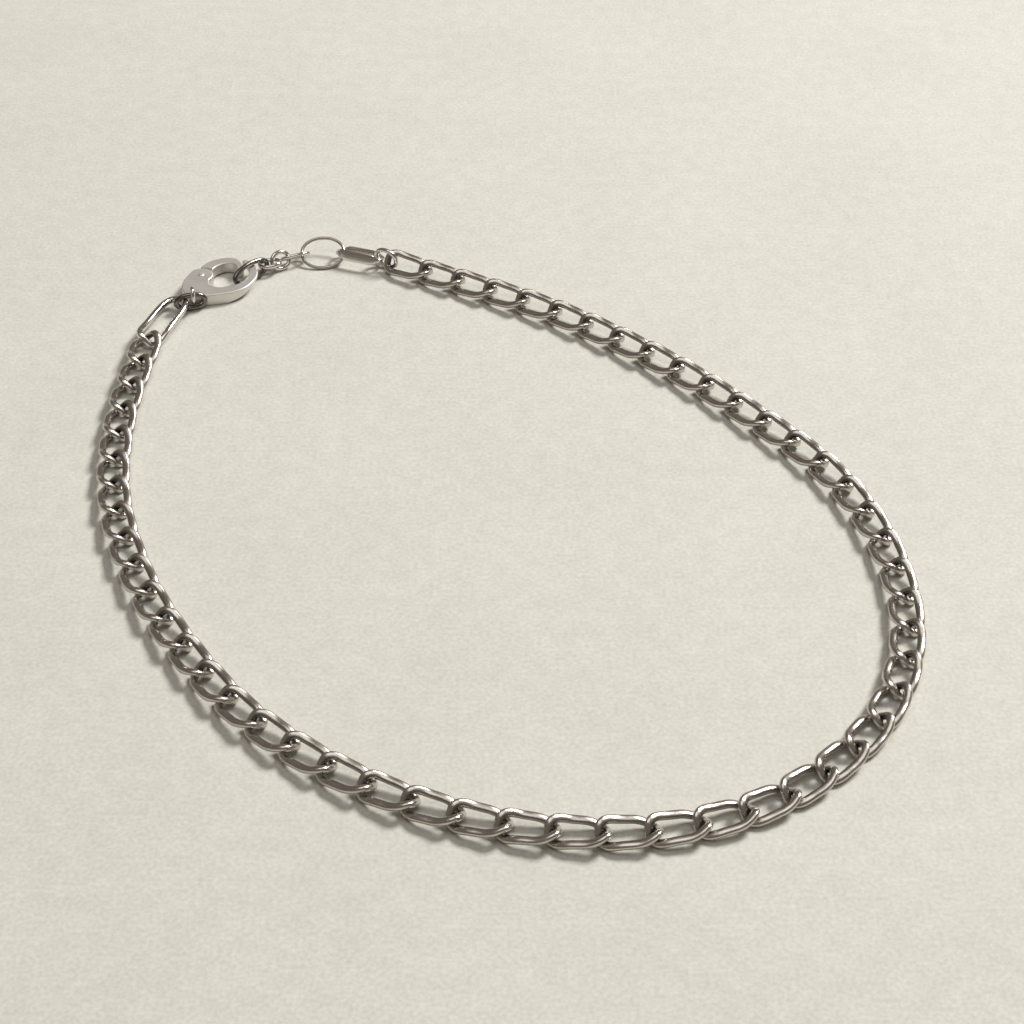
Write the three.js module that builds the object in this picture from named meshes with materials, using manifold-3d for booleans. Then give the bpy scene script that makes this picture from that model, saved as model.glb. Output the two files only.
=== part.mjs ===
// A curb-link necklace of stainless steel, lying closed in a loop: twisted oval links of squared wire,
// a flat lobster clasp with a hinged lever, and a short run of small links and rings beside the clasp.
// Millimetres, +Z up. The origin is on the surface, under the middle of the loop.
import * as THREE from 'three';
import { mergeVertices } from 'three/addons/utils/BufferGeometryUtils.js';
import Module from 'manifold-3d';

const wasm = await Module();
wasm.setup();

// Curb chain
const linkPitch = 8.2; // from one crossing of two links to the next
const linkWidth = 6.6; // over the outside of a link
const linkWire = 1.55; // width of the squared wire
const linkWireTall = 1.2; // height of the squared wire
const linkTwist = 43; // degrees that each end of a link is turned from the link's middle
const twistPower = 2.1; // how far the twist keeps to a link's ends
const linkSquareness = 3.2; // power of the link's oval: 2 is an ellipse, more is squarer
const leanNear = 5; // degrees that the links nearest -Y lean, with their +Y side up
const leanFar = 18; // degrees that the links nearest +Y lean, with their +Y side up
const linkBite = 0.05; // depth to which two links of one run are let into each other where they bear
const passGap = 0.8; // clearance along the chain where one piece passes through the next
const pieceGap = 0.3; // clearance between faces of the clasp
const restLift = 0.02; // height of the lowest links above the surface
const lastLinkRise = 0.3; // the last link's front end lies on the ring that it holds

// Long link at the clasp's end of the chain
const endLinkWidth = 6.8;
const endLinkWire = 1.4;
const endLinkSquareness = 4;
const endLinkTwist = 12; // degrees at the end that holds the clasp ring
const endLinkPower = 2.5; // how far its twist keeps to its ends

// Lobster clasp, drawn along its own axis: u from its back to its nose, v across
const claspThick = 2.8;
const claspTurn = 15; // degrees of the clasp's axis from +X
const claspPlace = [-69.5, 71.5]; // the back end of the clasp's axis
const claspLength = 17.3;
const claspHalf = 7.0; // half the clasp's width
const pivotAlong = 4.9;
const pivotAcross = 2.3;
const cheekRadius = 2.7;
const hubRadius = 1.9;
const pinRadius = 0.7;
const cheekThick = 0.7; // each of the two cheeks that hold the lever
const tongueThick = 0.8; // the lever's tongue between the cheeks
const mouthFrom = -8; // degrees from the clasp's axis between which the cheeks are open for the lever
const mouthTo = 96;
const rivetStand = 0.2; // height of the pin's head over the body
const noseSlope = 15; // degrees that the hook's underside rises towards its nose
const noseSlopeFrom = 9.5; // where along the clasp the rising underside starts
const eyeOuter = 3.8;
const eyeWire = 0.9;
const eyeHeight = 3.85; // height of the eye's centre
const eyeStandOff = 1.5; // from the body's edge out to the eye's centre

// Outlines of the clasp, as shares of its length and of half its width
const bodyOutline = [
  { along: 0.0, across: -0.3 },
  { along: 0.03, across: 0.06 },
  { along: 0.1, across: 0.36 },
  { along: 0.19, across: 0.62 },
  { along: 0.28, across: 0.7 },
  { along: 0.37, across: 0.58 },
  { along: 0.4, across: 0.34 },
  { along: 0.37, across: 0.02 },
  { along: 0.365, across: -0.3 },
  { along: 0.47, across: -0.52 },
  { along: 0.52, across: -0.7 },
  { along: 0.47, across: -0.9 },
  { along: 0.25, across: -0.86 },
  { along: 0.09, across: -0.74 },
  { along: 0.02, across: -0.54 },
];
const hookLine = [
  { along: 0.3, across: -0.64, width: 0.42 },
  { along: 0.54, across: -0.72, width: 0.38 },
  { along: 0.73, across: -0.63, width: 0.34 },
  { along: 0.88, across: -0.3, width: 0.31 },
  { along: 0.945, across: 0.06, width: 0.28 },
  { along: 0.94, across: 0.42, width: 0.25 },
  { along: 0.885, across: 0.74, width: 0.2 },
];
const leverLine = [
  { along: 0.36, across: 0.62, width: 0.42 },
  { along: 0.46, across: 0.84, width: 0.38 },
  { along: 0.61, across: 0.95, width: 0.33 },
  { along: 0.74, across: 0.86, width: 0.31 },
  { along: 0.8, across: 0.6, width: 0.24 },
  { along: 0.785, across: 0.45, width: 0.16 },
];

// The curb chain's route, from the long link round to the knot ring: points chosen by hand
const chainRoute = [
  [-74.0, 52.0], [-75.9, 25.7], [-73.8, 1.0], [-66.8, -20.8], [-56.0, -40.8], [-41.2, -59.8], [-20.8, -74.8],
  [3.0, -83.8], [28.0, -84.8], [49.4, -77.2], [66.8, -60.4], [74.9, -39.8], [74.6, -16.8], [67.2, 5.4],
  [53.0, 24.6], [35.6, 43.4], [14.0, 61.0], [-7.6, 73.2], [-23.0, 80.8],
];

const radians = THREE.MathUtils.degToRad;

// A point on the clasp, from shares of its length and of half its width
function onClasp(along, across, height) {
  const place = new THREE.Vector2(along * claspLength, across * claspHalf)
    .rotateAround(new THREE.Vector2(), radians(claspTurn));
  return [place.x + claspPlace[0], place.y + claspPlace[1], height];
}

// Small links and rings from the chain's end back to the clasp: each runs between two crossings chosen by
// hand, [x, y, height], and the last one hangs in the clasp's mouth. lean turns a link's flat about its own
// length, with its left wire up.
const fittings = [
  { name: 'knot_ring', from: [-23.0, 80.8, 2.9], to: [-25.9, 82.4, 2.6], wire: 1.0, width: 5.5, lean: 84 },
  { name: 'oval_ring', from: [-35.0, 85.5, 2.0], to: [-43.0, 84.6, 1.95], wire: 0.7, width: 8.7, lean: -23 },
  { name: 'bar_link', from: [-43.0, 84.6, 1.95], to: [-47.3, 82.7, 2.0], wire: 0.8, width: 3.5, lean: 42 },
  { name: 'small_ring', from: [-47.3, 82.7, 2.1], to: [-49.3, 81.0, 2.1], wire: 0.95, width: 4.6, lean: -60 },
  { name: 'small_link', from: [-49.3, 81.0, 2.1], to: [-52.0, 80.2, 2.0], wire: 0.95, width: 4.4, lean: 8 },
  {
    name: 'hook_link', from: [-52.0, 80.2, 2.1], to: onClasp(0.738, -0.09, 2.2),
    wire: 1.1, width: 4.5, lean: -65,
  },
];
const tubeLink = {
  from: [-25.9, 82.4, 1.95], to: [-35.0, 85.5, 2.0],
  wall: 0.6, width: 4.8, height: 2.4, endHeight: 0.6, lean: 20,
};
const claspRing = { wire: 1.1, width: 4.4, length: 7.4, lean: -88, turn: 194, slide: 0.6 };
const endLinkTop = [-69.5, 65.2, 2.0];

// Mesh steps
const linkSteps = 12;
const ringSteps = 16;
const wireSides = 6;
const roundSteps = 24;

// Solid for joining and cutting, from a closed three.js geometry
function solidOf(geometry) {
  const bare = geometry.clone();
  bare.deleteAttribute('normal');
  bare.deleteAttribute('uv');
  const merged = mergeVertices(bare, 1e-4);
  return new wasm.Manifold(new wasm.Mesh({
    numProp: 3,
    vertProperties: merged.attributes.position.array,
    triVerts: new Uint32Array(merged.index.array),
  }));
}

function geometryOf(solid) {
  const mesh = solid.getMesh();
  const geometry = new THREE.BufferGeometry();
  geometry.setAttribute('position', new THREE.BufferAttribute(new Float32Array(mesh.vertProperties), 3));
  geometry.setIndex(new THREE.BufferAttribute(new Uint32Array(mesh.triVerts), 1));
  geometry.computeVertexNormals();
  return geometry;
}

function joined(solids) {
  return solids.reduce((whole, solid) => whole.add(solid));
}

// Signed power of a cosine or sine, which squares up an ellipse
function squared(value, power) {
  return Math.sign(value) * Math.abs(value) ** (2 / power);
}

// A closed wire link along X: a torus whose ring becomes a squared oval of the given centreline half
// sizes. section(angle, x) gives the wire's offset outwards and upwards. The link is twisted about X, left
// side up by twistRear at its rear end and right side up by twistFront at its front end.
function linkGeometry(halfLength, halfWidth, squareness, steps, section,
  twistRear = 0, twistFront = 0, power = twistPower) {
  const ringRadius = 2;
  const geometry = new THREE.TorusGeometry(ringRadius, 1, wireSides, steps);
  const position = geometry.attributes.position;
  const place = new THREE.Vector3();
  for (let i = 0; i < position.count; i += 1) {
    place.fromBufferAttribute(position, i);
    const around = Math.atan2(place.y, place.x);
    const over = Math.atan2(place.z, Math.hypot(place.x, place.y) - ringRadius) + Math.PI / wireSides;
    const x = halfLength * squared(Math.cos(around), squareness);
    const y = halfWidth * squared(Math.sin(around), squareness);
    const outward = new THREE.Vector2(
      squared(Math.cos(around), squareness / (squareness - 1)) / halfLength,
      squared(Math.sin(around), squareness / (squareness - 1)) / halfWidth,
    ).normalize();
    const offset = section(over, x);
    place.set(x + outward.x * offset.out, y + outward.y * offset.out, offset.up);
    const share = place.x / halfLength;
    const twist = share < 0 ? twistRear : -twistFront;
    place.applyAxisAngle(new THREE.Vector3(1, 0, 0), twist * Math.abs(share) ** power);
    position.setXYZ(i, place.x, place.y, place.z);
  }
  return geometry;
}

// Section of a round wire
function roundSection(thick) {
  return (over) => ({ out: (thick / 2) * Math.cos(over), up: (thick / 2) * Math.sin(over) });
}

// Section of a squared wire, flat on top and underneath
function wireSection(thick, tall) {
  const top = Math.sin((2 * Math.PI) / wireSides);
  return (over) => {
    const side = over - Math.PI / wireSides;
    const out = (thick / 2) * squared(Math.cos(side), linkSquareness);
    return { out, up: (tall / 2 / top) * Math.sin(side) };
  };
}

// Moves a link along X to lie between two crossings. Its centreline passes each crossing by a reach.
function laid(geometry, from, to, lean) {
  const along = new THREE.Vector3().subVectors(to, from).normalize();
  const left = new THREE.Vector3(0, 0, 1).cross(along).normalize();
  const frame = new THREE.Matrix4().makeBasis(along, left, along.clone().cross(left));
  geometry.rotateX(radians(lean));
  geometry.applyMatrix4(frame);
  const middle = from.clone().add(to).multiplyScalar(0.5);
  return geometry.translate(middle.x, middle.y, middle.z);
}

// Ends of a centreline that passes two crossings by the given reaches
function reached(from, to, reachFrom, reachTo) {
  const along = new THREE.Vector3().subVectors(to, from).normalize();
  return [from.clone().addScaledVector(along, -reachFrom), to.clone().addScaledVector(along, reachTo)];
}

// A twisted link of the curb wire between two crossings
function curbLink(from, to, reachFrom, reachTo, steps) {
  const [start, end] = reached(from, to, reachFrom, reachTo);
  const geometry = linkGeometry(start.distanceTo(end) / 2, (linkWidth - linkWire) / 2, linkSquareness,
    steps, wireSection(linkWire, linkWireTall), radians(linkTwist), radians(linkTwist));
  return laid(geometry, start, end, linkLean(to.clone().sub(from)));
}

// A link leans with its +Y side up, and the more the further it runs along X
function linkLean(along) {
  const share = along.x / along.length();
  return share * (share > 0 ? leanNear : leanFar);
}

const bearingReach = (linkWire - linkBite) / 2;
const looseReach = (linkWire + passGap) / 2;

// The long link, nearly flat where it holds the clasp ring
function endLink(top, chainStart) {
  const reach = (endLinkWire + passGap) / 2;
  const [start, end] = reached(top, chainStart, reach, reach);
  const halfWidth = (endLinkWidth - endLinkWire) / 2;
  const geometry = linkGeometry(start.distanceTo(end) / 2, halfWidth, endLinkSquareness, ringSteps,
    roundSection(endLinkWire), radians(endLinkTwist), radians(linkTwist), endLinkPower);
  return laid(geometry, start, end, 0);
}

// Height of a crossing that puts the lowest point of a link that runs along there at restLift
function crossingHeight(along) {
  const flat = curbLink(new THREE.Vector3(), along.clone().setLength(linkPitch),
    looseReach, looseReach, ringSteps);
  flat.computeBoundingBox();
  return restLift - flat.boundingBox.min.z;
}

// The two halves of the chain, each joined link by link. The halves pass through each other loosely.
function chainHalves() {
  const route = new THREE.CatmullRomCurve3(
    chainRoute.map(([x, y]) => new THREE.Vector3(x, y, 0)), false, 'catmullrom', 0.5);
  route.arcLengthDivisions = 2000;
  const count = Math.round(route.getLength() / linkPitch);
  const crossings = route.getSpacedPoints(count);
  crossings.forEach((crossing, i) => {
    crossing.z = crossingHeight(route.getTangentAt(i / count));
  });
  crossings[count].z += lastLinkRise;
  const middle = Math.round(count / 2);
  const halves = [[], []];
  for (let i = 0; i < count; i += 1) {
    const looseFrom = i === 0 || i === middle;
    const looseTo = i === count - 1 || i === middle - 1;
    const link = curbLink(crossings[i], crossings[i + 1], looseFrom ? looseReach : bearingReach,
      looseTo ? looseReach : bearingReach, looseFrom || looseTo ? ringSteps : linkSteps);
    halves[i < middle ? 0 : 1].push(solidOf(link));
  }
  return { left: joined(halves[0]), right: joined(halves[1]), start: crossings[0] };
}

// A plain ring or link of round wire between two crossings
function fitting({ from, to, wire, width, lean }) {
  const reach = (wire + passGap) / 2;
  const [start, end] = reached(new THREE.Vector3(...from), new THREE.Vector3(...to), reach, reach);
  const geometry = linkGeometry(start.distanceTo(end) / 2, (width - wire) / 2, 2.1, ringSteps,
    roundSection(wire));
  return laid(geometry, start, end, lean);
}

// The long link bent from a flat strip on edge, lower towards its two ends
function tubeGeometry({ from, to, wall, width, height, endHeight, lean }) {
  const reach = (wall + passGap) / 2;
  const [start, end] = reached(new THREE.Vector3(...from), new THREE.Vector3(...to), reach, reach);
  const halfLength = start.distanceTo(end) / 2;
  const strip = (over, x) => {
    const share = THREE.MathUtils.smoothstep(halfLength - Math.abs(x), 0, halfLength * 0.45);
    const tall = THREE.MathUtils.lerp(endHeight, height, share);
    return { out: (wall / 2) * squared(Math.cos(over), 6), up: (tall / 2) * squared(Math.sin(over), 3) };
  };
  const geometry = linkGeometry(halfLength, (width - wall) / 2, 3, ringSteps, strip);
  return laid(geometry, start, end, lean);
}

// Points of a smooth line through a table's rows, in the clasp's own millimetres
function claspPoints(rows) {
  return rows.map(({ along, across }) => new THREE.Vector2(along * claspLength, across * claspHalf));
}

function prism(shape, low, high) {
  const settings = { depth: high - low, bevelEnabled: false, curveSegments: 8 };
  return solidOf(new THREE.ExtrudeGeometry(shape, settings).translate(0, 0, low));
}

function disc(radius, along, across, low, high) {
  const geometry = new THREE.CylinderGeometry(radius, radius, high - low, roundSteps);
  return solidOf(geometry.rotateX(Math.PI / 2).translate(along, across, (low + high) / 2));
}

// A flat arm that follows a line with its own width at each row, with round ends
function armShape(rows) {
  const line = new THREE.SplineCurve(claspPoints(rows));
  const halves = rows.map(({ width }, i) => new THREE.Vector2(i, (width * claspHalf) / 2));
  const widths = new THREE.SplineCurve(halves);
  const steps = 16;
  const left = [];
  const right = [];
  for (let i = 0; i <= steps; i += 1) {
    const middle = line.getPoint(i / steps);
    const tangent = line.getTangent(i / steps);
    const half = widths.getPoint(i / steps).y;
    left.push(new THREE.Vector2(middle.x - tangent.y * half, middle.y + tangent.x * half));
    right.push(new THREE.Vector2(middle.x + tangent.y * half, middle.y - tangent.x * half));
  }
  const tip = line.getPoint(1);
  const rim = left[steps].clone().sub(tip);
  const centre = new THREE.Vector2();
  const round = [1, 2, 3].map((i) => rim.clone().rotateAround(centre, (-i * Math.PI) / 4).add(tip));
  return new THREE.Shape([...left, ...round, ...right.reverse()].reverse());
}

// The clasp's body: a plate with two cheeks round the pin, the hook arm, and an upright eye
function claspBodySolid() {
  const outline = new THREE.SplineCurve([...claspPoints(bodyOutline), claspPoints(bodyOutline)[0]]);
  const plate = prism(new THREE.Shape(outline.getPoints(42).slice(0, -1)), 0, claspThick);
  const cheeks = disc(cheekRadius, pivotAlong, pivotAcross, 0, claspThick);
  const hook = prism(armShape(hookLine), 0, claspThick);
  const underside = solidOf(new THREE.BoxGeometry(claspLength, 2 * claspHalf, claspThick)
    .translate(claspLength / 2, 0, -claspThick / 2).rotateY(-radians(noseSlope))
    .translate(noseSlopeFrom, 0, 0));
  const slotLow = cheekThick;
  const slotHigh = claspThick - cheekThick;
  const slot = disc(hubRadius + pieceGap, pivotAlong, pivotAcross, slotLow, slotHigh);
  const mouth = new THREE.Shape();
  const mouthReach = 2 * cheekRadius;
  const mouthStart = radians(mouthFrom);
  mouth.moveTo(pivotAlong, pivotAcross);
  mouth.lineTo(pivotAlong + mouthReach * Math.cos(mouthStart),
    pivotAcross + mouthReach * Math.sin(mouthStart));
  mouth.absarc(pivotAlong, pivotAcross, mouthReach, mouthStart, radians(mouthTo), false);
  const pin = disc(pinRadius, pivotAlong, pivotAcross, 0, claspThick + rivetStand);
  return plate.add(cheeks).add(hook).subtract(underside).subtract(slot)
    .subtract(prism(mouth, slotLow, slotHigh)).add(pin).add(eyeSolid());
}

// Where the eye stands: out from the edge of the body, in the clasp's own millimetres
function eyePlace() {
  const edge = claspPoints(bodyOutline)[13];
  return new THREE.Vector2(edge.x + eyeStandOff * 0.2, edge.y - eyeStandOff);
}

// The eye is a small upright ring, square to the wire of the clasp ring that passes through it
function eyeSolid() {
  const place = eyePlace();
  const ring = new THREE.TorusGeometry((eyeOuter - eyeWire) / 2, eyeWire / 2, wireSides, linkSteps);
  ring.rotateX(Math.PI / 2).rotateZ(radians(claspRing.turn - 90 - claspTurn));
  return solidOf(ring.translate(place.x, place.y, eyeHeight));
}

// The lever ends short of the hook's tip
function leverReach() {
  const tip = hookLine[hookLine.length - 1];
  const pivot = new THREE.Vector2(pivotAlong, pivotAcross);
  return claspPoints([tip])[0].distanceTo(pivot) - (tip.width * claspHalf) / 2 - pieceGap;
}

// The lever: a thick arm over the mouth, with a thin tongue on the pin
function claspLeverSolid() {
  const arm = prism(armShape(leverLine), pieceGap, claspThick)
    .subtract(disc(cheekRadius + pieceGap, pivotAlong, pivotAcross, 0, 2 * claspThick))
    .intersect(disc(leverReach(), pivotAlong, pivotAcross, 0, 2 * claspThick));
  const tongueLow = (claspThick - tongueThick) / 2;
  const tongueHigh = tongueLow + tongueThick;
  const root = claspPoints(leverLine)[1];
  const direction = new THREE.Vector2(root.x - pivotAlong, root.y - pivotAcross).normalize();
  const across = new THREE.Vector2(-direction.y, direction.x).multiplyScalar(hubRadius * 0.6);
  const neckEnd = new THREE.Vector2(pivotAlong, pivotAcross).addScaledVector(direction, cheekRadius + 1.2);
  const neck = new THREE.Shape([
    new THREE.Vector2(pivotAlong, pivotAcross).sub(across), neckEnd.clone().sub(across),
    neckEnd.clone().add(across), new THREE.Vector2(pivotAlong, pivotAcross).add(across)]);
  const hub = disc(hubRadius, pivotAlong, pivotAcross, tongueLow, tongueHigh);
  const bore = disc(pinRadius + pieceGap, pivotAlong, pivotAcross, 0, claspThick);
  return arm.add(hub.add(prism(neck, tongueLow, tongueHigh))).subtract(bore);
}

// The dark ring: one of its long sides runs through the clasp's eye, the other through the long link
function claspRingGeometry() {
  const { wire, width, length, lean, turn, slide } = claspRing;
  const halfWidth = (width - wire) / 2;
  const eye = eyePlace().rotateAround(new THREE.Vector2(), radians(claspTurn));
  const through = new THREE.Vector3(eye.x + claspPlace[0], eye.y + claspPlace[1], eyeHeight);
  const along = new THREE.Vector3(Math.cos(radians(turn)), Math.sin(radians(turn)), 0);
  const left = new THREE.Vector3(-along.y, along.x, 0);
  const middle = through.clone().addScaledVector(along, slide)
    .addScaledVector(left, halfWidth * Math.cos(radians(lean)));
  middle.z = through.z + halfWidth * Math.sin(radians(lean));
  const half = (length - wire) / 2;
  const geometry = linkGeometry(half, halfWidth, 2.2, ringSteps, roundSection(wire));
  const start = middle.clone().addScaledVector(along, -half);
  const end = middle.clone().addScaledVector(along, half);
  return laid(geometry, start, end, lean);
}

function steel(colour, roughness) {
  return new THREE.MeshStandardMaterial({ color: colour, metalness: 1, roughness });
}

function piece(name, geometry, material) {
  const mesh = new THREE.Mesh(geometry, material);
  mesh.name = name;
  return mesh;
}

const brushed = steel('#a7a29b', 0.32);
const polished = steel('#bdb9b2', 0.2);
const dark = steel('#5f5a55', 0.35);

const necklace = new THREE.Group();
const chain = chainHalves();
necklace.add(piece('chain_left', geometryOf(chain.left), brushed));
necklace.add(piece('chain_right', geometryOf(chain.right), brushed));
const longLink = endLink(new THREE.Vector3(...endLinkTop), chain.start);
necklace.add(piece('end_link', geometryOf(solidOf(longLink)), brushed));
for (const row of fittings) {
  const material = row.name === 'hook_link' ? dark : polished;
  necklace.add(piece(row.name, geometryOf(solidOf(fitting(row))), material));
}
necklace.add(piece('tube_link', geometryOf(solidOf(tubeGeometry(tubeLink))), polished));
necklace.add(piece('clasp_ring', geometryOf(solidOf(claspRingGeometry())), dark));

const clasp = new THREE.Group();
clasp.position.set(claspPlace[0], claspPlace[1], 0);
clasp.rotation.z = radians(claspTurn);
clasp.add(piece('clasp_body', geometryOf(claspBodySolid()), brushed));
clasp.add(piece('clasp_lever', geometryOf(claspLeverSolid()), brushed));
necklace.add(clasp);

export default necklace;
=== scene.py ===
import bpy
import numpy as np
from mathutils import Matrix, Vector


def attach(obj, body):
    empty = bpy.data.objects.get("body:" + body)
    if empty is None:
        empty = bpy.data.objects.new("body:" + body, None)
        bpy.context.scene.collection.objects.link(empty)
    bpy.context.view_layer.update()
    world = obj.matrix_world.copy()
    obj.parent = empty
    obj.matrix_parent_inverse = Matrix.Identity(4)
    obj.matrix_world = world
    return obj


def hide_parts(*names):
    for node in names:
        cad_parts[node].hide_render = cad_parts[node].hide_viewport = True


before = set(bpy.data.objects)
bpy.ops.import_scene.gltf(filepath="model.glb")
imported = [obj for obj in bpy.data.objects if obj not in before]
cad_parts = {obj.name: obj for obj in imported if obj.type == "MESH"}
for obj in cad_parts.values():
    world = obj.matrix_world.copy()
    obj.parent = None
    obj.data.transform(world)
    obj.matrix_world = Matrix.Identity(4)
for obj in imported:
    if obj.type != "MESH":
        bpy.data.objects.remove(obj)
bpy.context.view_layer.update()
mm = 0.001
up = np.array([0.0, 0.0, 1.0])
restLift = 0.02       # how far the lowest wire stays above the surface


# Helpers: all shapes are worked out in millimetres and put into the mesh in metres

def squared(value, power):
    # signed power of a cosine or sine: an ellipse becomes a squared oval
    return np.sign(value) * np.abs(value) ** (2 / power)


def unit(vector):
    return vector / np.linalg.norm(vector)


def smoothStep(value, low, high):
    # 0 below low, 1 above high, and between them 3 t squared less 2 t cubed
    share = np.clip((value - low) / (high - low), 0, 1)
    return share * share * (3 - 2 * share)


def turned(across, upwards, angle):
    # the two parts of a vector after a turn anticlockwise
    return (across * np.cos(angle) - upwards * np.sin(angle),
            across * np.sin(angle) + upwards * np.cos(angle))


def turnedAboutX(points, angle):
    # each point is turned about the X axis by its own angle
    return np.stack([points[..., 0], *turned(points[..., 1], points[..., 2], angle)], axis=-1)


def linkGrid(halfLength, halfWidth, squareness, section, twistRear=0.0, twistFront=0.0, twistPower=2.0,
             steps=(72, 20)):
    # A closed wire link along X on a two-parameter grid. Round the link by a: the centreline is the squared
    # oval (halfLength * cos a, halfWidth * sin a), twisted about X by a power of the share of the way to
    # each end: twistRear at the rear end and minus twistFront at the front end. Round the wire by b:
    # section(b, x) gives the offset outwards and upwards, square to the twisted centreline, so the wire
    # keeps its thickness.
    a = np.linspace(0, 2 * np.pi, steps[0], endpoint=False)[:, None]
    b = np.linspace(0, 2 * np.pi, steps[1], endpoint=False)[None, :]
    x = halfLength * squared(np.cos(a), squareness)
    y = halfWidth * squared(np.sin(a), squareness)
    share = x / halfLength
    twist = np.where(share < 0, twistRear, -twistFront) * np.abs(share) ** twistPower
    centre = turnedAboutX(np.stack([x, y, 0 * x], axis=-1), twist)
    tangent = np.roll(centre, -1, axis=0) - np.roll(centre, 1, axis=0)
    tangent /= np.linalg.norm(tangent, axis=-1, keepdims=True)
    normalPower = squareness / (squareness - 1)
    outX = squared(np.cos(a), normalPower) / halfLength
    outY = squared(np.sin(a), normalPower) / halfWidth
    outward = turnedAboutX(np.stack([outX, outY, 0 * outX], axis=-1), twist)
    outward -= tangent * np.sum(outward * tangent, axis=-1, keepdims=True)
    outward /= np.linalg.norm(outward, axis=-1, keepdims=True)
    out, rise = section(b, x)
    return centre + outward * out[..., None] + np.cross(outward, tangent) * (rise + 0 * x)[..., None]


def wire(thick, squareness=2.0, tall=None):
    # section of a wire: a squared oval of the given thickness and height
    tall = thick if tall is None else tall
    return lambda b, x: (thick / 2 * squared(np.cos(b), squareness),
                         tall / 2 * squared(np.sin(b), squareness))


def laid(points, start, end, lean=0.0):
    # turns a grid along X by lean about X, and lays it between two points with its left side level
    along = unit(end - start)
    left = unit(np.cross(up, along))
    leaning = turnedAboutX(points, np.radians(lean))
    return leaning @ np.array([along, left, np.cross(along, left)]) + (start + end) / 2


def rested(points):
    # lifts a grid that would dip below the surface
    return points + up * max(0.0, restLift - points[..., 2].min())


def reached(start, end, reachStart, reachEnd):
    # the two ends, each carried past its crossing
    along = unit(end - start)
    return start - along * reachStart, end + along * reachEnd


def closedFaces(rows, columns):
    # quads of a grid that closes both ways, with the corner shares used for its UV map
    i, j = np.meshgrid(np.arange(rows), np.arange(columns), indexing="ij")
    iNext, jNext = (i + 1) % rows, (j + 1) % columns
    faces = np.stack([i * columns + j, iNext * columns + j,
                      iNext * columns + jNext, i * columns + jNext], axis=-1)
    uv = np.stack([np.stack([i, j], -1), np.stack([i + 1, j], -1), np.stack([i + 1, j + 1], -1),
                   np.stack([i, j + 1], -1)], axis=-2) / np.array([rows, columns])
    return faces.reshape(-1, 4), uv.reshape(-1, 4, 2)


def meshObject(name, points, faces, uv=None):
    mesh = bpy.data.meshes.new(name)
    mesh.from_pydata((points.reshape(-1, 3) * mm).tolist(), [], [list(face) for face in faces])
    if uv is not None:
        layer = mesh.uv_layers.new(name="wire")
        layer.data.foreach_set("uv", np.asarray(uv, dtype=np.float32).ravel())
    mesh.validate()
    mesh.polygons.foreach_set("use_smooth", [True] * len(mesh.polygons))
    piece = bpy.data.objects.new(name, mesh)
    bpy.context.scene.collection.objects.link(piece)
    return piece


uvShift = np.array([7.3, 3.1])       # from one link's UV map to the next, so that no two look the same


def gridObject(name, grids, perimeter=24.0, girth=5.0, wearAndPaintedShade=None):
    # One mesh of many closed grids. The UV map is in millimetres along and around the wire. The last argument
    # is a grid of shares of painted shade, 1 where the wire keeps its own colour and 0 where it is painted
    # darkest, in place of the shade in the links' hollows; it is kept on the mesh as an attribute, and
    # without it every share is 1.
    allPoints, allFaces, allUv, first = [], [], [], 0
    for number, grid in enumerate(grids):
        rows, columns = grid.shape[:2]
        faces, uv = closedFaces(rows, columns)
        points = grid.reshape(-1, 3)
        corner = points[faces]
        cross = np.cross(corner[:, 1] - corner[:, 0], corner[:, 3] - corner[:, 0])
        inside = np.einsum("ij,ij->", corner[:, 0] - points.mean(axis=0), cross) < 0
        if inside:
            faces, uv = faces[:, ::-1], uv[:, ::-1]
        allPoints.append(points)
        allFaces.append(faces + first)
        allUv.append(uv * np.array([perimeter, girth]) + number * uvShift)
        first += len(points)
    piece = meshObject(name, np.concatenate(allPoints), np.concatenate(allFaces), np.concatenate(allUv))
    share = np.ones(first) if wearAndPaintedShade is None else np.tile(wearAndPaintedShade.ravel(), len(grids))
    piece.data.attributes.new("paintedShadeMask", "FLOAT", "POINT").data.foreach_set("value", share.astype(np.float32))
    return piece


def hollowPaintedShade(steps, depth, ends):
    # painted shade: the wire's inner side is painted darker, and most at the link's two ends, where the next
    # link crosses close by and shade falls in the hollows
    a = np.linspace(0, 2 * np.pi, steps[0], endpoint=False)[:, None]
    b = np.linspace(0, 2 * np.pi, steps[1], endpoint=False)[None, :]
    inner = smoothStep(-np.cos(b), -0.1, 0.8)
    atEnd = smoothStep(np.abs(np.cos(a)), 0.5, 0.95)
    return 1 - depth * inner * (1 - ends + ends * atEnd)


def finished(piece, body, slotName, material, *nodes):
    # gives a piece its material and body, and hides the solids that it replaces
    piece.data.materials.clear()
    piece.data.materials.append(material)
    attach(piece, body)
    if nodes:
        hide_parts(*nodes)


# Materials

metal = {
    "lines": (0.35, 9.0, 1.0),            # brushed lines to a millimetre along and around a wire
    "lineRoughness": 0.62,
    "clouds": 260.0,                      # scale of the cloudy wear
    "pits": 1500.0,                       # scale of the small dents
    # painted shade: the near black that the hollows of the wire are painted towards
    "paintedShade": (0.035, 0.029, 0.023),
    "glossFrom": 0.1, "glossTo": 0.45,    # range of the wear that the roughness follows
    "lineDepth": 0.00004, "pitDepth": 0.00003,      # in metres
}


def noiseNode(nodes, links, vector, scale, detail):
    noise = nodes.new("ShaderNodeTexNoise")
    noise.inputs["Scale"].default_value = scale
    noise.inputs["Detail"].default_value = detail
    links.new(vector, noise.inputs["Vector"])
    return noise


def bumpNode(nodes, links, height, strength, distance):
    bump = nodes.new("ShaderNodeBump")
    bump.inputs["Strength"].default_value = strength
    bump.inputs["Distance"].default_value = distance
    links.new(height, bump.inputs["Height"])
    return bump


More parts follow.
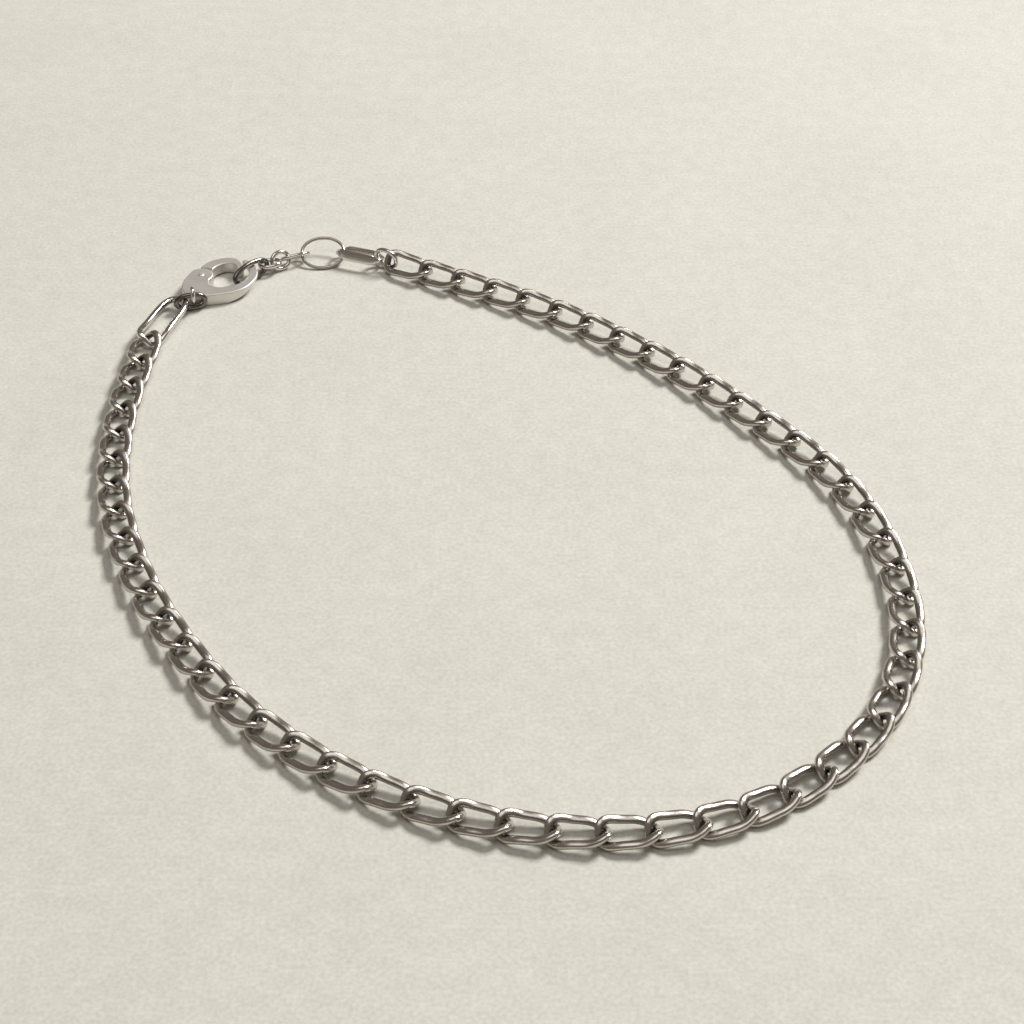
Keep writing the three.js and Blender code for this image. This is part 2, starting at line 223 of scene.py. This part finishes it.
def steel(name, colour, wearAndPaintedShade, rough, roughSpread, streaks, grain, along=None, metallic=1.0):
    # Steel: brushed lines along the wire, cloudy wear in the roughness, and small dents and scratches.
    # With along, the lines follow the object's own axes instead of its UV map, and it has no painted shade.
    material = bpy.data.materials.new(name)
    material.use_nodes = True
    nodes, links = material.node_tree.nodes, material.node_tree.links
    shader = nodes["Principled BSDF"]
    shader.inputs["Metallic"].default_value = metallic
    place = nodes.new("ShaderNodeTexCoord")
    brush = nodes.new("ShaderNodeMapping")
    brush.inputs["Scale"].default_value = along or metal["lines"]
    links.new(place.outputs["Object" if along else "UV"], brush.inputs["Vector"])
    lines = noiseNode(nodes, links, brush.outputs["Vector"], 1.0, 6.0)
    lines.inputs["Roughness"].default_value = metal["lineRoughness"]
    clouds = noiseNode(nodes, links, place.outputs["Object"], metal["clouds"], 4.0)
    tone = nodes.new("ShaderNodeMix")
    tone.data_type = "RGBA"
    tone.inputs["A"].default_value = (*colour, 1.0)
    tone.inputs["B"].default_value = (*wearAndPaintedShade, 1.0)
    links.new(clouds.outputs["Fac"], tone.inputs["Factor"])
    # painted shade: without along, the colour is mixed towards a near black by the mesh's shade mask, in
    # place of the shade in the links' hollows
    if along is None:
        paintedShadeMask = nodes.new("ShaderNodeAttribute")
        paintedShadeMask.attribute_name = "paintedShadeMask"
        paintedShadeMix = nodes.new("ShaderNodeMix")
        paintedShadeMix.data_type = "RGBA"
        paintedShadeMix.inputs["A"].default_value = (*metal["paintedShade"], 1.0)
        links.new(paintedShadeMask.outputs["Fac"], paintedShadeMix.inputs["Factor"])
        links.new(tone.outputs["Result"], paintedShadeMix.inputs["B"])
        tone = paintedShadeMix
    links.new(tone.outputs["Result"], shader.inputs["Base Color"])
    mixed = nodes.new("ShaderNodeMath")
    mixed.operation = "MULTIPLY"
    links.new(lines.outputs["Fac"], mixed.inputs[0])
    links.new(clouds.outputs["Fac"], mixed.inputs[1])
    gloss = nodes.new("ShaderNodeMapRange")
    gloss.inputs["From Min"].default_value = metal["glossFrom"]
    gloss.inputs["From Max"].default_value = metal["glossTo"]
    gloss.inputs["To Min"].default_value = rough
    gloss.inputs["To Max"].default_value = rough + roughSpread
    links.new(mixed.outputs["Value"], gloss.inputs["Value"])
    links.new(gloss.outputs["Result"], shader.inputs["Roughness"])
    brushed = bumpNode(nodes, links, lines.outputs["Fac"], streaks, metal["lineDepth"])
    pits = noiseNode(nodes, links, place.outputs["Object"], metal["pits"], 3.0)
    pitted = bumpNode(nodes, links, pits.outputs["Fac"], grain, metal["pitDepth"])
    links.new(brushed.outputs["Normal"], pitted.inputs["Normal"])
    links.new(pitted.outputs["Normal"], shader.inputs["Normal"])
    return material


chainSteel = steel("satin chain steel", colour=(0.64, 0.605, 0.565), wearAndPaintedShade=(0.52, 0.485, 0.445),
                   rough=0.19, roughSpread=0.16, streaks=0.45, grain=0.2)
ringSteel = steel("polished ring steel", colour=(0.78, 0.76, 0.73), wearAndPaintedShade=(0.68, 0.65, 0.62),
                  rough=0.13, roughSpread=0.1, streaks=0.2, grain=0.08)
# painted dark reflection: the ring steel again with a near-black colour, in place of the dark surroundings
# that the polished rings reflect
ringSteelPaintedDark = steel("ring steel painted dark", colour=(0.24, 0.22, 0.205), wearAndPaintedShade=(0.16, 0.145, 0.13),
                  rough=0.14, roughSpread=0.12, streaks=0.25, grain=0.1)
# painted darker reflection: the ring steel again with a darker colour, in place of the dark surroundings that
# the thin oval ring reflects
ringSteelPaintedDarker = steel("ring steel painted darker", colour=(0.5, 0.47, 0.44), wearAndPaintedShade=(0.4, 0.37, 0.34),
                  rough=0.18, roughSpread=0.12, streaks=0.25, grain=0.1)
claspSteel = steel("satin clasp steel", colour=(0.8, 0.785, 0.755), wearAndPaintedShade=(0.74, 0.725, 0.695),
                   rough=0.38, roughSpread=0.14, streaks=0.12, grain=0.08,
                   along=(300.0, 3000.0, 3000.0), metallic=0.75)
print("materials made")


# Curb chain

chain = {
    "pitch": 8.2,         # from one crossing of two links to the next
    "width": 6.6,         # over the outside of a link
    "wire": 1.55,         # across the wire
    "wireTall": 1.2,      # the wire's height
    "twist": 43.0,        # degrees that each end of a link is turned from its middle
    "twistPower": 2.1,    # how far the twist keeps to the ends
    "squareness": 3.2,    # of a link's outline: 2 is an ellipse
    "wireSquareness": 2.4,
    "leanNear": 5.0,      # degrees that the links nearest -Y lean, with their +Y side up
    "leanFar": 18.0,
    "bearing": 0.12,      # clearance where two links bear on each other
    "pass": 0.8,          # clearance where the chain's two ends pass their neighbours
    "lastRise": 0.3,      # how far the last crossing is lifted by the ring that stands there
    "loose": 1.6,         # degrees of play in a link's roll
    "seed": 53,
    "paintedShade": 0.8,          # how dark the wire's inner side is painted, as painted shade
    "paintedShadeEnds": 0.6,      # how far the painted shade keeps to a link's ends
    "routeSteps": 4001,   # points at which the route's length is measured
}
chainRoute = np.array([
    [-74.0, 52.0], [-75.9, 25.7], [-73.8, 1.0], [-66.8, -20.8], [-56.0, -40.8], [-41.2, -59.8],
    [-20.8, -74.8], [3.0, -83.8], [28.0, -84.8], [49.4, -77.2], [66.8, -60.4], [74.9, -39.8],
    [74.6, -16.8], [67.2, 5.4], [53.0, 24.6], [35.6, 43.4], [14.0, 61.0], [-7.6, 73.2], [-23.0, 80.8]])


def smoothLine(points, share, clamped):
    # Catmull-Rom line: between points 1 and 2 the cubic whose end slopes are (2 - 0) / 2 and (3 - 1) / 2.
    # Past its ends the line's first and last points are repeated, or carried straight on.
    first = points[0] if clamped else 2 * points[0] - points[1]
    last = points[-1] if clamped else 2 * points[-1] - points[-2]
    padded = np.vstack([first, points, last])
    place = np.clip(np.asarray(share) * (len(points) - 1), 0, len(points) - 1)
    index = np.minimum(place.astype(int), len(points) - 2)
    t = (place - index)[:, None]
    p0, p1, p2, p3 = (padded[index + step] for step in range(4))
    slopeIn, slopeOut = (p2 - p0) / 2, (p3 - p1) / 2
    return ((2 * p1 - 2 * p2 + slopeIn + slopeOut) * t ** 3
            + (3 * p2 - 3 * p1 - 2 * slopeIn - slopeOut) * t ** 2 + slopeIn * t + p1)


def chainCrossings():
    # where two links cross: points a pitch apart along the route, at the height that lets the links rest
    fine = smoothLine(chainRoute, np.linspace(0, 1, chain["routeSteps"]), False)
    length = np.concatenate([[0], np.cumsum(np.linalg.norm(np.diff(fine, axis=0), axis=1))])
    count = int(round(length[-1] / chain["pitch"]))
    even = np.linspace(0, length[-1], count + 1)
    crossings = np.stack([np.interp(even, length, fine[:, 0]), np.interp(even, length, fine[:, 1]),
                          np.zeros(count + 1)], axis=1)
    for i, along in enumerate(np.gradient(crossings, axis=0)):
        flat = curbLink(np.zeros(3), unit(along) * chain["pitch"], chain["pass"], chain["pass"])
        crossings[i, 2] = restLift - flat[..., 2].min()
    crossings[-1, 2] += chain["lastRise"]
    return crossings


def curbLink(start, end, clearStart, clearEnd, roll=0.0):
    # one link between two crossings, leaning the more the more it runs along X
    rear, front = reached(start, end, (chain["wire"] + clearStart) / 2, (chain["wire"] + clearEnd) / 2)
    twist = np.radians(chain["twist"])
    grid = linkGrid(np.linalg.norm(front - rear) / 2, (chain["width"] - chain["wire"]) / 2,
                    chain["squareness"], wire(chain["wire"], chain["wireSquareness"], chain["wireTall"]),
                    twist, twist, chain["twistPower"])
    share = unit(end - start)[0]
    return laid(grid, rear, front, share * (chain["leanNear"] if share > 0 else chain["leanFar"]) + roll)


crossings = chainCrossings()
rng = np.random.default_rng(chain["seed"])
rolls = rng.uniform(-1, 1, len(crossings) - 1) * chain["loose"]
clearances = [chain["pass"], *[chain["bearing"]] * (len(rolls) - 1), chain["pass"]]
links = [rested(curbLink(crossings[i], crossings[i + 1], clearances[i], clearances[i + 1], roll))
         for i, roll in enumerate(rolls)]
half = (len(links) + 1) // 2
# painted shade on the inner side of every link, darkest at the ends
wearAndPaintedShade = hollowPaintedShade(links[0].shape, chain["paintedShade"], chain["paintedShadeEnds"])
finished(gridObject("chain_left_links", links[:half], wearAndPaintedShade=wearAndPaintedShade), "necklace", "chain_steel", chainSteel,
         "chain_left")
finished(gridObject("chain_right_links", links[half:], wearAndPaintedShade=wearAndPaintedShade), "necklace", "chain_steel", chainSteel,
         "chain_right")
print("curb chain made,", len(links), "links")


# Long link at the clasp's end of the chain

longLink = {
    "top": np.array([-69.5, 65.2, 2.0]),      # where it crosses the clasp's ring
    "width": 6.8, "wire": 1.4, "squareness": 4.0, "wireSquareness": 2.4,
    "twistTop": 12.0,                         # degrees; at its other end it twists as the chain does
    "twistPower": 2.5, "clearance": 0.8,
}


def longLinkGrid(size):
    # runs past both crossings by half its wire and half the clearance
    reach = (size["wire"] + size["clearance"]) / 2
    rear, front = reached(size["top"], crossings[0], reach, reach)
    grid = linkGrid(np.linalg.norm(front - rear) / 2, (size["width"] - size["wire"]) / 2, size["squareness"],
                    wire(size["wire"], size["wireSquareness"]), np.radians(size["twistTop"]),
                    np.radians(chain["twist"]), size["twistPower"], steps=(128, 20))
    return rested(laid(grid, rear, front))


finished(gridObject("long_link", [longLinkGrid(longLink)], 40.0), "necklace", "chain_steel", ringSteel,
         "end_link")


# Small links and rings between the chain's end and the clasp

# from and to are the crossings with the neighbours, and lean is the turn in degrees about the line between
fittings = {
    "knot_ring": {"from": (-23.0, 80.8, 2.9), "to": (-25.9, 82.4, 2.6),
                  "wire": 1.0, "width": 5.5, "lean": 84},
    "oval_ring": {"from": (-35.0, 85.5, 2.0), "to": (-43.0, 84.6, 1.95),
                  "wire": 0.7, "width": 8.7, "lean": -23},
    "bar_link": {"from": (-43.0, 84.6, 1.95), "to": (-47.3, 82.7, 2.0),
                 "wire": 0.8, "width": 3.5, "lean": 42},
    "small_ring": {"from": (-47.3, 82.7, 2.1), "to": (-49.3, 81.0, 2.1),
                   "wire": 0.95, "width": 4.6, "lean": -60},
    "small_link": {"from": (-49.3, 81.0, 2.1), "to": (-52.0, 80.2, 2.0),
                   "wire": 0.95, "width": 4.4, "lean": 8},
    "hook_link": {"from": (-52.0, 80.2, 2.1), "to": (-57.01, 74.2, 2.2),
                  "wire": 1.1, "width": 4.5, "lean": -65},
}
fittingClearance = 0.8
fittingSquareness = 2.1


def fittingGrid(row):
    # a round wire bent to a nearly plain oval, which runs past both crossings as the long link does
    reach = (row["wire"] + fittingClearance) / 2
    rear, front = reached(np.array(row["from"]), np.array(row["to"]), reach, reach)
    grid = linkGrid(np.linalg.norm(front - rear) / 2, (row["width"] - row["wire"]) / 2, fittingSquareness,
                    wire(row["wire"]), steps=(96, 20))
    return rested(laid(grid, rear, front, row["lean"]))


for name, row in fittings.items():
    # the hook link and the oval ring get ring steel painted darker, as painted reflection
    material = {"hook_link": ringSteelPaintedDark, "oval_ring": ringSteelPaintedDarker}.get(name, ringSteel)
    finished(gridObject(name + "_wire", [fittingGrid(row)], 18.0, 3.5), "necklace",
             "dark_steel" if name == "hook_link" else "ring_steel", material, name)


# Link bent from a tall strip

strip = {
    "from": (-25.9, 82.4, 1.95), "to": (-35.0, 85.5, 2.0),
    "wall": 0.6, "width": 4.8, "height": 2.4, "endHeight": 0.6, "lean": 20.0,
    "narrowing": 0.45,      # share of its half length over which it gets low
    "squareness": 3, "edgeSquareness": 4,
}


def stripGrid(size):
    reach = (size["wall"] + fittingClearance) / 2
    rear, front = reached(np.array(size["from"]), np.array(size["to"]), reach, reach)
    halfLength = np.linalg.norm(front - rear) / 2

    def section(b, x):
        # the strip stands tall in its middle and low where it wraps round its neighbours
        tall = size["endHeight"] + (size["height"] - size["endHeight"]) * smoothStep(
            halfLength - np.abs(x), 0, halfLength * size["narrowing"])
        return (size["wall"] / 2 * squared(np.cos(b), size["edgeSquareness"]),
                tall / 2 * squared(np.sin(b), size["edgeSquareness"]))

    grid = linkGrid(halfLength, (size["width"] - size["wall"]) / 2, size["squareness"], section,
                    steps=(128, 24))
    return rested(laid(grid, rear, front, size["lean"]))


finished(gridObject("strip_link", [stripGrid(strip)], 22.0, 6.0), "necklace", "ring_steel", ringSteel,
         "tube_link")
print("small links and rings made")


# Lobster clasp: worked out along its own axis, u from its back to its nose, v across

clasp = {
    "thick": 2.8, "length": 17.3,
    "half": 7.0,                                # what the outlines' widths are shares of
    "turn": 15.0, "place": np.array([-69.5, 71.5, 0.0]),
    "pivot": np.array([4.9, 2.3]),
    "cheekRadius": 2.7, "cheekThick": 0.7,
    "hubRadius": 1.9, "tongueThick": 0.8,       # the lever's tongue, round the pin between the cheeks
    "neckShare": 0.6, "neckReach": 1.2,         # the tongue's neck, which runs into the lever
    "pinRadius": 0.7, "rivetStand": 0.2, "pinSides": 40,
    "leverReach": 9.8,                          # from the pivot to the lever's end
    "gap": 0.3,                                 # between the lever and the body
    "noseSlope": 15.0, "noseSlopeFrom": 9.5,    # the underside slopes up towards the nose
    "cutEnd": 26.0, "cutHalf": 9.0, "cutDeep": 6.0,     # the block that cuts that slope
    "mouthFrom": -8.0, "mouthTo": 96.0,         # degrees about the pivot where the slot is open
    "edge": 0.28, "leverEdge": 0.24,            # width of the rounded edges
    "outlineSteps": 168,
}
# the body's outline as shares of the length and half width, and the two arms with their widths too
bodyOutline = np.array([
    [0.0, -0.3], [0.03, 0.06], [0.1, 0.36], [0.19, 0.62], [0.28, 0.7], [0.37, 0.58], [0.4, 0.34],
    [0.37, 0.02], [0.365, -0.3], [0.47, -0.52], [0.52, -0.7], [0.47, -0.9], [0.25, -0.86], [0.09, -0.74],
    [0.02, -0.54]])
hookLine = np.array([
    [0.3, -0.64, 0.42], [0.54, -0.72, 0.38], [0.73, -0.63, 0.34], [0.88, -0.3, 0.31], [0.945, 0.06, 0.28],
    [0.94, 0.42, 0.25], [0.885, 0.74, 0.2]])
leverLine = np.array([
    [0.36, 0.62, 0.42], [0.46, 0.84, 0.38], [0.61, 0.95, 0.33], [0.74, 0.86, 0.31], [0.8, 0.6, 0.24],
    [0.785, 0.45, 0.16]])
claspShares = np.array([clasp["length"], clasp["half"]])


def armOutline(rows, steps=56, tipSteps=14, nudge=1e-4):
    # Outline of a flat arm: the smooth line through the rows, offset to both sides by half its width, and
    # a half circle round its end.
    share = np.linspace(0, 1, steps + 1)
    line = smoothLine(rows[:, :2] * claspShares, share, True)
    half = smoothLine(rows[:, 2:] * clasp["half"] / 2, share, True)
    before = smoothLine(rows[:, :2] * claspShares, np.maximum(share - nudge, 0), True)
    after = smoothLine(rows[:, :2] * claspShares, np.minimum(share + nudge, 1), True)
    tangent = (after - before) / np.linalg.norm(after - before, axis=1)[:, None]
    side = np.stack([-tangent[:, 1], tangent[:, 0]], axis=1) * half
    angle = -np.linspace(0, np.pi, tipSteps)[1:-1]
    tip = line[-1] + np.stack(turned(*side[-1], angle), axis=1)
    return np.vstack([line + side, tip, (line - side)[::-1]])[::-1]


def circle(radius, centre, steps=64):
    angle = np.linspace(0, 2 * np.pi, steps, endpoint=False)
    return np.asarray(centre) + radius * np.stack([np.cos(angle), np.sin(angle)], axis=1)


def prism(name, outline, low, high, slope=0.0, slopeFrom=0.0):
    # Flat solid: an outline run anticlockwise, carried from one height to another. Every height is raised
    # by slope * (u - slopeFrom).
    nextPoint = np.roll(outline, -1, axis=0)
    if np.sum(outline[:, 0] * nextPoint[:, 1] - nextPoint[:, 0] * outline[:, 1]) < 0:
        outline = outline[::-1]
    count = len(outline)
    raised = slope * (outline[:, 0] - slopeFrom)
    points = np.vstack([np.column_stack([outline, low + raised]), np.column_stack([outline, high + raised])])
    i = np.arange(count)
    sides = np.stack([i, (i + 1) % count, (i + 1) % count + count, i + count], axis=1)
    return meshObject(name, points, [*sides.tolist(), i[::-1].tolist(), (i + count).tolist()])


def boolean(target, other, operation):
    # joins, cuts or crosses the target with another shape, and hands that back to be removed
    cut = target.modifiers.new(operation.lower(), "BOOLEAN")
    cut.operation = operation
    cut.solver = "EXACT"
    cut.object = other
    return other


def settled(piece, spare=()):
    # the piece keeps its evaluated mesh, and the shapes that made it go
    graph = bpy.context.evaluated_depsgraph_get()
    mesh = bpy.data.meshes.new_from_object(piece.evaluated_get(graph))
    piece.modifiers.clear()
    old = piece.data
    piece.data = mesh
    bpy.data.meshes.remove(old)
    for other in spare:
        bpy.data.objects.remove(other, do_unlink=True)
    return piece


edges = {
    "weld": 0.08,                     # points closer than this are one
    "level": 0.5,                     # degrees between faces that become one
    "round": 50.0, "segments": 3,     # degrees from which an edge is rounded, and in how many steps
    "sharp": 60.0,                    # degrees from which an edge is shaded sharp
}


def softEdged(piece, width):
    # clears the small faces that the joins leave, and rounds the edges
    weld = piece.modifiers.new("weld", "WELD")
    weld.merge_threshold = edges["weld"] * mm
    flat = piece.modifiers.new("flat", "DECIMATE")
    flat.decimate_type = "DISSOLVE"
    flat.angle_limit = np.radians(edges["level"])
    edge = piece.modifiers.new("edge", "BEVEL")
    edge.width = width * mm
    edge.segments = edges["segments"]
    edge.limit_method = "ANGLE"
    edge.angle_limit = np.radians(edges["round"])
    edge.use_clamp_overlap = False
    return settled(piece)


def evenlyShaded(piece):
    # smooth shading that keeps the large faces flat
    piece.data.polygons.foreach_set("use_smooth", [True] * len(piece.data.polygons))
    piece.data.set_sharp_from_angle(angle=np.radians(edges["sharp"]))
    weighted = piece.modifiers.new("flat faces", "WEIGHTED_NORMAL")
    weighted.mode = "FACE_AREA"
    weighted.weight = 100
    weighted.keep_sharp = True
    return settled(piece)


def placedOnClasp(piece):
    # moves the mesh from the clasp's own axis to where the clasp lies
    points = np.empty(len(piece.data.vertices) * 3)
    piece.data.vertices.foreach_get("co", points)
    points = points.reshape(-1, 3)
    points[:, 0], points[:, 1] = turned(points[:, 0], points[:, 1], np.radians(clasp["turn"]))
    points += clasp["place"] * mm
    piece.data.vertices.foreach_set("co", points.ravel())
    piece.data.update()
    return piece


def claspBody():
    # the flat body with its cheeks and hook, sloped under the nose, and the slot open towards the mouth
    thick, gap, pivot = clasp["thick"], clasp["gap"], clasp["pivot"]
    slotLow, slotHigh = clasp["cheekThick"], thick - clasp["cheekThick"]
    closed = np.vstack([bodyOutline, bodyOutline[:1]]) * claspShares
    outline = smoothLine(closed, np.linspace(0, 1, clasp["outlineSteps"], endpoint=False), True)
    body = prism("clasp_body_steel", outline, 0, thick)
    angle = np.radians(np.linspace(clasp["mouthFrom"], clasp["mouthTo"], 24))
    mouth = np.vstack([pivot, pivot + 2 * clasp["cheekRadius"] * np.stack([np.cos(angle), np.sin(angle)], 1)])
    start, end, side = clasp["noseSlopeFrom"], clasp["cutEnd"], clasp["cutHalf"]
    under = prism("under", np.array([[start, -side], [end, -side], [end, side], [start, side]]),
                  -clasp["cutDeep"], 0, np.tan(np.radians(clasp["noseSlope"])), start)
    spare = [
        boolean(body, prism("cheeks", circle(clasp["cheekRadius"], pivot), 0, thick), "UNION"),
        boolean(body, prism("hook", armOutline(hookLine), 0, thick), "UNION"),
        boolean(body, under, "DIFFERENCE"),
    ]
    body = softEdged(settled(body, spare), clasp["edge"])
    spare = [
        boolean(body, prism("slot", circle(clasp["hubRadius"] + gap, pivot), slotLow, slotHigh),
                "DIFFERENCE"),
        boolean(body, prism("mouth", mouth, slotLow, slotHigh), "DIFFERENCE"),
    ]
    return placedOnClasp(evenlyShaded(settled(body, spare)))


def claspLever():
    # a flat arm, cut clear of the cheeks and ended short of the hook
    thick, gap, pivot = clasp["thick"], clasp["gap"], clasp["pivot"]
    under, over = -1, thick + 1     # past both faces, for what cuts right through
    clearance = prism("clearance", circle(clasp["cheekRadius"] + gap, pivot), under, over)
    lever = prism("clasp_lever_steel", armOutline(leverLine), gap, thick)
    spare = [
        boolean(lever, clearance, "DIFFERENCE"),
        boolean(lever, prism("reach", circle(clasp["leverReach"], pivot, 128), under, over), "INTERSECT"),
    ]
    lever = evenlyShaded(softEdged(settled(lever, spare), clasp["leverEdge"]))
    # the tongue sits between the cheeks, round the pin, and runs into the lever
    low = (thick - clasp["tongueThick"]) / 2
    high = low + clasp["tongueThick"]
    direction = unit(leverLine[1, :2] * claspShares - pivot)
    across = np.array([-direction[1], direction[0]]) * clasp["hubRadius"] * clasp["neckShare"]
    neckEnd = pivot + direction * (clasp["cheekRadius"] + clasp["neckReach"])
    neck = np.array([pivot - across, neckEnd - across, neckEnd + across, pivot + across])
    tongue = prism("clasp_lever_tongue", circle(clasp["hubRadius"], pivot), low, high)
    spare = [
        boolean(tongue, prism("neck", neck, low, high), "UNION"),
        boolean(tongue, prism("bore", circle(clasp["pinRadius"] + gap, pivot), under, over), "DIFFERENCE"),
    ]
    return placedOnClasp(lever), placedOnClasp(evenlyShaded(settled(tongue, spare)))


def claspPin():
    # The pin: a profile of radius against height turned about the pivot. Its low domed head has the radius
    # radius * cos t at the height thick + stand * sin t, for t up to a quarter turn.
    thick, radius, stand = clasp["thick"], clasp["pinRadius"], clasp["rivetStand"]
    sides, pivot = clasp["pinSides"], clasp["pivot"]
    dome = np.linspace(0, np.pi / 2, 7)[1:]
    profile = np.vstack([[[radius, restLift], [radius, thick]],
                         np.stack([radius * np.cos(dome), thick + stand * np.sin(dome)], axis=1)])
    angle = np.linspace(0, 2 * np.pi, sides, endpoint=False)
    reach, height = profile[:-1, :1], profile[:-1, 1:]
    rings = np.stack([pivot[0] + reach * np.cos(angle), pivot[1] + reach * np.sin(angle),
                      height + 0 * angle], axis=-1)
    points = np.vstack([[*pivot, profile[0, 1]], rings.reshape(-1, 3), [*pivot, profile[-1, 1]]])
    ring, i = np.arange(len(rings) - 1)[:, None] * sides, np.arange(sides)
    near, far = 1 + ring + i, 1 + ring + (i + 1) % sides
    walls = np.stack([near, far, far + sides, near + sides], axis=-1).reshape(-1, 4)
    bottom = np.stack([0 * i, far[0], near[0]], axis=1)
    top = np.stack([near[-1] + sides, far[-1] + sides, 0 * i + len(points) - 1], axis=1)
    return placedOnClasp(meshObject("clasp_pin", points, [*bottom.tolist(), *walls.tolist(), *top.tolist()]))


eye = {
    "outer": 3.8, "wire": 0.9, "height": 3.85,
    "foot": 13,               # the point of the body's outline that it stands beside
    "standOff": 1.5, "forward": 0.2,
}
claspRing = {
    "wire": 1.1, "width": 4.4, "length": 7.4, "squareness": 2.2,
    "lean": -88.0,            # nearly upright
    "turn": 194.0, "slide": 0.6,
}


def eyePlace():
    # on the clasp's own axes, out from the foot by standOff, and forward by a share of that
    return bodyOutline[eye["foot"]] * claspShares + eye["standOff"] * np.array([eye["forward"], -1.0])


def claspEye(steps=(64, 20)):
    # Upright ring: a round wire carried round a circle, square to the wire that passes through it. Round
    # the circle by a and round the wire by b, the point is radius + wire / 2 * cos b from the middle and
    # wire / 2 * sin b from the circle's plane.
    radius = (eye["outer"] - eye["wire"]) / 2
    a = np.linspace(0, 2 * np.pi, steps[0], endpoint=False)[:, None]
    b = np.linspace(0, 2 * np.pi, steps[1], endpoint=False)[None, :]
    reach = radius + eye["wire"] / 2 * np.cos(b)
    depth = eye["wire"] / 2 * np.sin(b) + 0 * a
    along, across = turned(reach * np.cos(a), depth, np.radians(claspRing["turn"] - 90 - clasp["turn"]))
    place = eyePlace()
    points = np.stack([place[0] + along, place[1] + across, eye["height"] + reach * np.sin(a)], axis=-1)
    return placedOnClasp(gridObject("clasp_eye", [points], 10.0, 3.0))


def claspRingGrid():
    # an oval ring that stands nearly upright, with its upper side through the eye
    halfWidth = (claspRing["width"] - claspRing["wire"]) / 2
    turn, lean = np.radians(claspRing["turn"]), np.radians(claspRing["lean"])
    through = np.array([*turned(*eyePlace(), np.radians(clasp["turn"])), eye["height"]]) + clasp["place"]
    along = np.array([np.cos(turn), np.sin(turn), 0.0])
    left = np.array([-along[1], along[0], 0.0])
    middle = through + along * claspRing["slide"] + (left * np.cos(lean) + up * np.sin(lean)) * halfWidth
    half = (claspRing["length"] - claspRing["wire"]) / 2
    grid = linkGrid(half, halfWidth, claspRing["squareness"], wire(claspRing["wire"]), steps=(96, 20))
    return rested(laid(grid, middle - along * half, middle + along * half, claspRing["lean"]))


finished(claspBody(), "necklace", "clasp_steel", claspSteel, "clasp_body")
lever, tongue = claspLever()
finished(lever, "lever", "clasp_steel", claspSteel, "clasp_lever")
finished(tongue, "lever", "clasp_steel", claspSteel)
finished(claspPin(), "necklace", "clasp_steel", claspSteel)
finished(claspEye(), "necklace", "clasp_steel", ringSteel)
# the clasp ring gets ring steel painted dark, as painted reflection
finished(gridObject("clasp_ring_wire", [claspRingGrid()], 22.0, 3.8), "necklace", "dark_steel", ringSteelPaintedDark,
         "clasp_ring")
print("clasp made")


# Floor, light and camera

studio = {
    "floor": (0.77, 0.77, 0.71), "floorSize": 6.0, "floorRoughness": 0.8,
    "mottling": ((30.0, 0.95), (260.0, 0.93), (1300.0, 0.84)),     # scale and darkest tone of each layer
    "world": (0.17, 0.15, 0.125),
    "keyEnergy": 63.0, "keySize": 0.75, "keyPlace": (1.35, 1.13, 1.67), "keyColour": (1.0, 0.97, 0.93),
    "topEnergy": 2.6, "topSize": 0.9, "topPlace": (0, -0.1, 1.1), "topColour": (1.0, 0.98, 0.96),
}
view = {
    "lens": 70.3125, "sensor": 36.0, "nearest": 0.01,
    "place": np.array([0.00385, -0.2980, 0.2514]), "aim": np.array([0.00385, -0.00315, 0.0]),
}


def floorPlane():
    # pale stone: one tone, darkened by layers of noise of ever finer scale
    bpy.ops.mesh.primitive_plane_add(size=studio["floorSize"])
    floor = bpy.context.object
    floor.name = "floor"
    material = bpy.data.materials.new("pale floor")
    material.use_nodes = True
    nodes, links = material.node_tree.nodes, material.node_tree.links
    shader = nodes["Principled BSDF"]
    shader.inputs["Roughness"].default_value = studio["floorRoughness"]
    place = nodes.new("ShaderNodeTexCoord")
    colour = None
    for scale, darkest in studio["mottling"]:
        noise = noiseNode(nodes, links, place.outputs["Object"], scale, 6.0)
        tone = nodes.new("ShaderNodeMapRange")
        tone.inputs["From Min"].default_value = 0.3
        tone.inputs["From Max"].default_value = 0.7
        tone.inputs["To Min"].default_value = darkest
        links.new(noise.outputs["Fac"], tone.inputs["Value"])
        mixed = nodes.new("ShaderNodeVectorMath")
        mixed.operation = "SCALE"
        mixed.inputs[0].default_value = studio["floor"]
        if colour:
            links.new(colour, mixed.inputs[0])
        links.new(tone.outputs["Result"], mixed.inputs["Scale"])
        colour = mixed.outputs["Vector"]
    links.new(colour, shader.inputs["Base Color"])
    floor.data.materials.append(material)


def facing(direction):
    # the turn that points a lamp or a camera along a direction
    return Vector(direction.tolist()).to_track_quat("-Z", "Y").to_euler()


def areaLight(name, place, size, energy, colour):
    # a round lamp that points at the middle of the loop
    light = bpy.data.lights.new(name, "AREA")
    light.shape = "DISK"
    light.size = size
    light.energy = energy
    light.color = colour
    lamp = bpy.data.objects.new(name, light)
    bpy.context.scene.collection.objects.link(lamp)
    lamp.location = place
    lamp.rotation_euler = facing(-np.array(place))


floorPlane()
areaLight("key", studio["keyPlace"], studio["keySize"], studio["keyEnergy"], studio["keyColour"])
areaLight("top", studio["topPlace"], studio["topSize"], studio["topEnergy"], studio["topColour"])
world = bpy.data.worlds.new("studio")
world.use_nodes = True
world.node_tree.nodes["Background"].inputs["Color"].default_value = (*studio["world"], 1.0)
bpy.context.scene.world = world
bpy.context.scene.view_settings.view_transform = "Standard"

optics = bpy.data.cameras.new("camera")
optics.lens = view["lens"]
optics.sensor_width = view["sensor"]
optics.clip_start = view["nearest"]
camera = bpy.data.objects.new("camera", optics)
bpy.context.scene.collection.objects.link(camera)
camera.location = view["place"]
camera.rotation_euler = facing(view["aim"] - view["place"])
bpy.context.scene.camera = camera
print("floor, light and camera made")
